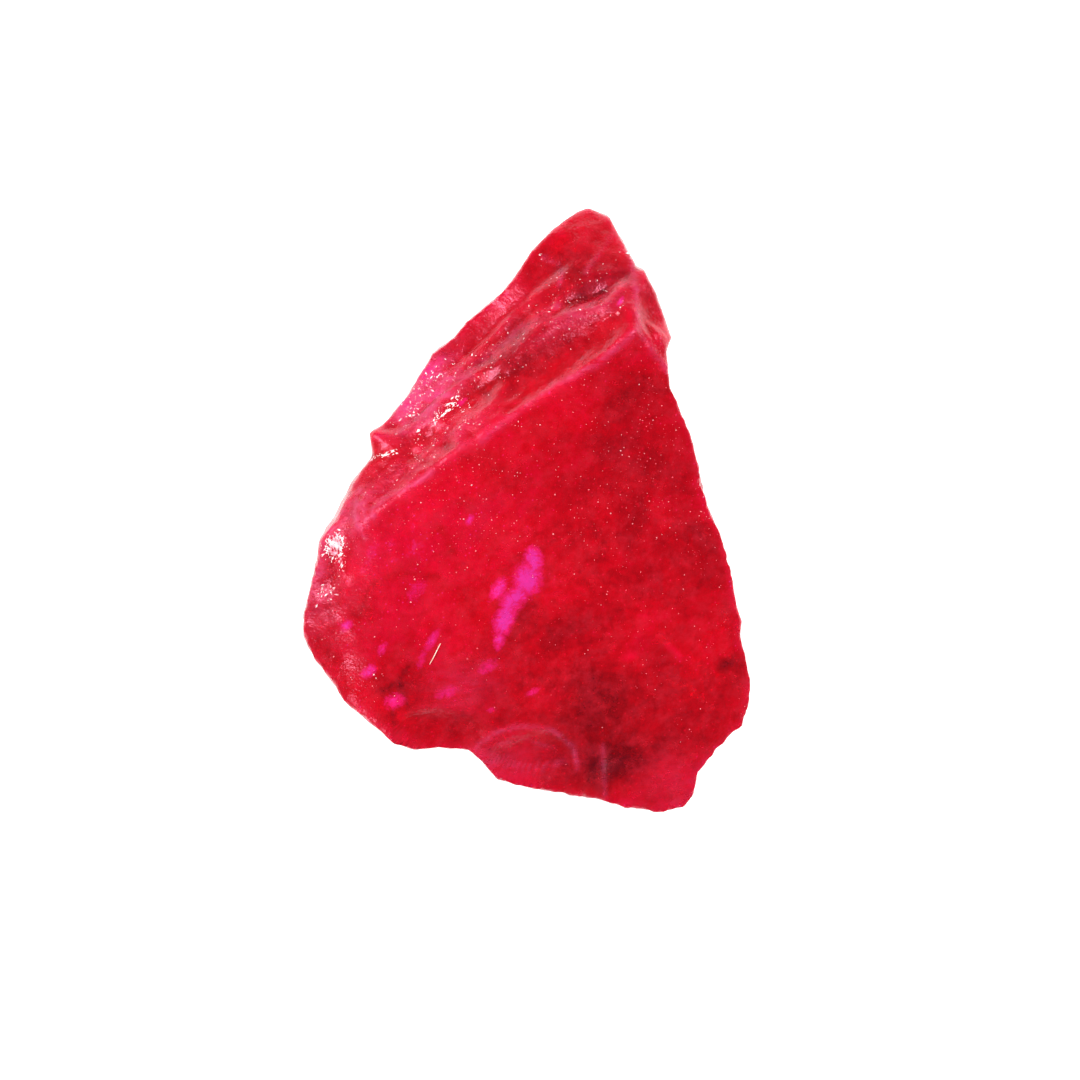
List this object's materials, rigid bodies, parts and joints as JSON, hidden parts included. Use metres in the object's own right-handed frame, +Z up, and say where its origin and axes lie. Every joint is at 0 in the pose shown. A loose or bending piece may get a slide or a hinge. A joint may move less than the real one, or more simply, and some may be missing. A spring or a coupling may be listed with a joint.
{
  "type": "raw ruby crystal",
  "caption": "Broken chip of raw ruby, see-through red, with a broad sloping upper face, a scarred bevel, a narrow tip and a flat face to rest on.",
  "frame": {"origin": "middle of the bounding box in plan, on the plane of the resting face", "axes": "+Z up from the resting face toward the broad upper face, +Y along the length toward the narrow tip, +X toward the straight right edge seen from above"},
  "size_m": [0.009, 0.012, 0.0051],
  "materials": {
    "ruby": "broken corundum, glassy to waxy with fine dust",
    "healed_fracture": "thin sealed fracture sheet",
    "mineral_inclusion": "tiny pale crystals sealed in or exposed on the stone",
    "crushed_ruby": "nearly white crumbs where an edge was crushed",
    "dust": "pale rock dust clinging to the stone",
    "lint": "one cream cotton fibre clinging to the stone"
  },
  "bodies": {
    "root": {"ruby_crystal": "ruby"}
  },
  "joints": []
}
